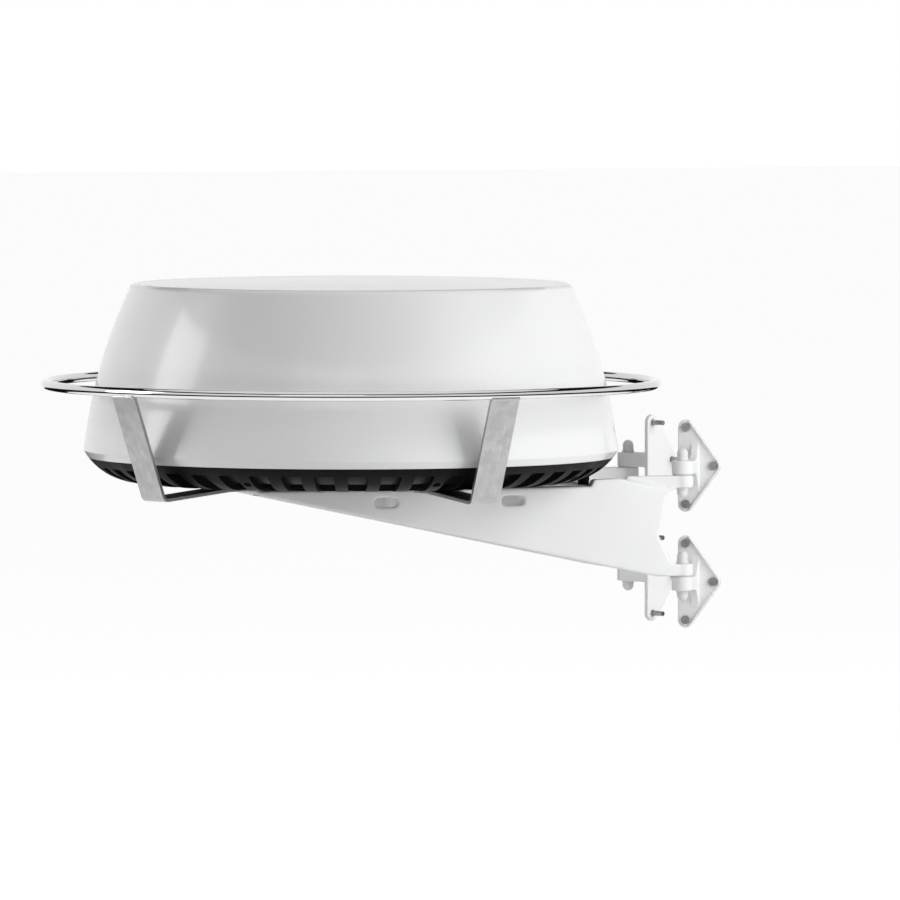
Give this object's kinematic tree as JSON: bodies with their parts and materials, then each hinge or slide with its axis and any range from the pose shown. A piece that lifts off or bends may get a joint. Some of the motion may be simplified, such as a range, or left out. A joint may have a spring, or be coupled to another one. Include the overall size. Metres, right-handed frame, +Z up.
{
  "type": "radar dome antenna",
  "caption": "Enclosed radar scanner: a round dome with its turning antenna inside, on a cantilever mast bracket with hinged feet and a tubular guard hoop.",
  "frame": {"origin": "midway between the four hinge pins, halfway between the upper and the lower feet, where the mast holds the bracket", "axes": "+X from the radome towards the mast, +Z up along the hinge pins and the dome axis, +Y to starboard"},
  "size_m": [0.6873, 0.6284, 0.357],
  "materials": {
    "gelcoat_white": "glossy moulded cover",
    "base_black": "satin moulded base",
    "gasket_rubber": "matt seal",
    "fastener_steel": "stainless fasteners",
    "insert_brass": "knurled inserts",
    "nut_plated": "plated nut",
    "chassis_sheet": "pressed sheet",
    "cast_alloy": "cast and machined",
    "bearing_steel": "ground steel",
    "circlip_black": "black spring steel",
    "gear_acetal": "natural acetal",
    "pinion_brass": "cut brass",
    "motor_black": "motor can",
    "waveguide_plated": "plated microwave parts",
    "board_green": "solder-masked board",
    "module_black": "potted module",
    "magnet_grey": "plated magnet",
    "guard_polished": "polished stainless tube",
    "strap_brushed": "brushed stainless flat bar",
    "bracket_white": "powder-coated casting",
    "foot_white": "powder-coated casting",
    "foot_screw_steel": "dull stainless socket screws",
    "pin_steel": "stainless pin",
    "cap_white": "moulded cap",
    "washer_nylon": "nylon washer"
  },
  "bodies": {
    "bracket": {"dome_cover": "gelcoat_white", "base_housing": "base_black", "perimeter_gasket": "gasket_rubber", "cover_screws": "fastener_steel", "mounting_inserts": "insert_brass", "breather_plug": "base_black", "cable_inlet": "base_black", "inlet_nut": "nut_plated", "chassis_plate": "chassis_sheet", "chassis_screws": "fastener_steel", "spindle_housing": "cast_alloy", "bearing_outer_races": "bearing_steel", "bearing_balls": "bearing_steel", "drive_motor": "motor_black", "motor_screws": "fastener_steel", "rotary_joint_stator": "waveguide_plated", "zero_mark_sensor": "module_black", "control_board": "board_green", "power_module": "module_black", "transceiver_box": "chassis_sheet", "transceiver_lid": "chassis_sheet", "guard_hoop": "guard_polished", "strap_front_port": "strap_brushed", "strap_rear_port": "strap_brushed", "strap_front_starboard": "strap_brushed", "strap_rear_starboard": "strap_brushed", "mast_bracket": "bracket_white", "radome_bolts": "fastener_steel", "hinge_pins": "pin_steel", "pin_caps": "cap_white", "hinge_washers": "washer_nylon"},
    "antenna": {"antenna_spindle": "bearing_steel", "spindle_circlip": "circlip_black", "bearing_inner_races": "bearing_steel", "driven_gear": "gear_acetal", "zero_mark_magnet": "magnet_grey", "antenna_carrier": "cast_alloy", "carrier_screws": "fastener_steel", "array_tray": "chassis_sheet", "array_face": "board_green", "rotary_joint_rotor": "waveguide_plated"},
    "pinion": {"drive_pinion": "pinion_brass", "motor_shaft": "bearing_steel"},
    "upper_port_foot": {"foot_upper_port": "foot_white", "screws_upper_port": "foot_screw_steel"},
    "upper_starboard_foot": {"foot_upper_starboard": "foot_white", "screws_upper_starboard": "foot_screw_steel"},
    "lower_port_foot": {"foot_lower_port": "foot_white", "screws_lower_port": "foot_screw_steel"},
    "lower_starboard_foot": {"foot_lower_starboard": "foot_white", "screws_lower_starboard": "foot_screw_steel"}
  },
  "joints": [
    {"name": "antenna_spin", "type": "hinge", "parent": "bracket", "child": "antenna", "pos_m": [-0.324, 0, 0.12], "axis": [0, 0, 1], "continuous": true},
    {"name": "pinion_spin", "type": "hinge", "parent": "bracket", "child": "pinion", "pos_m": [-0.29025, -0.05846, 0.11], "axis": [0, 0, 1], "continuous": true},
    {"name": "upper_port_swivel", "type": "hinge", "parent": "bracket", "child": "upper_port_foot", "pos_m": [0, -0.09, 0.059], "axis": [0, 0, 1], "range_deg": [-40, 25]},
    {"name": "upper_starboard_swivel", "type": "hinge", "parent": "bracket", "child": "upper_starboard_foot", "pos_m": [0, 0.09, 0.059], "axis": [0, 0, -1], "range_deg": [-40, 25]},
    {"name": "lower_port_swivel", "type": "hinge", "parent": "bracket", "child": "lower_port_foot", "pos_m": [0, -0.09, -0.059], "axis": [0, 0, 1], "range_deg": [-40, 25]},
    {"name": "lower_starboard_swivel", "type": "hinge", "parent": "bracket", "child": "lower_starboard_foot", "pos_m": [0, 0.09, -0.059], "axis": [0, 0, -1], "range_deg": [-40, 25]}
  ],
  "couplings": [
    {"joint": "pinion_spin", "follows": "antenna_spin", "ratio": -4}
  ]
}
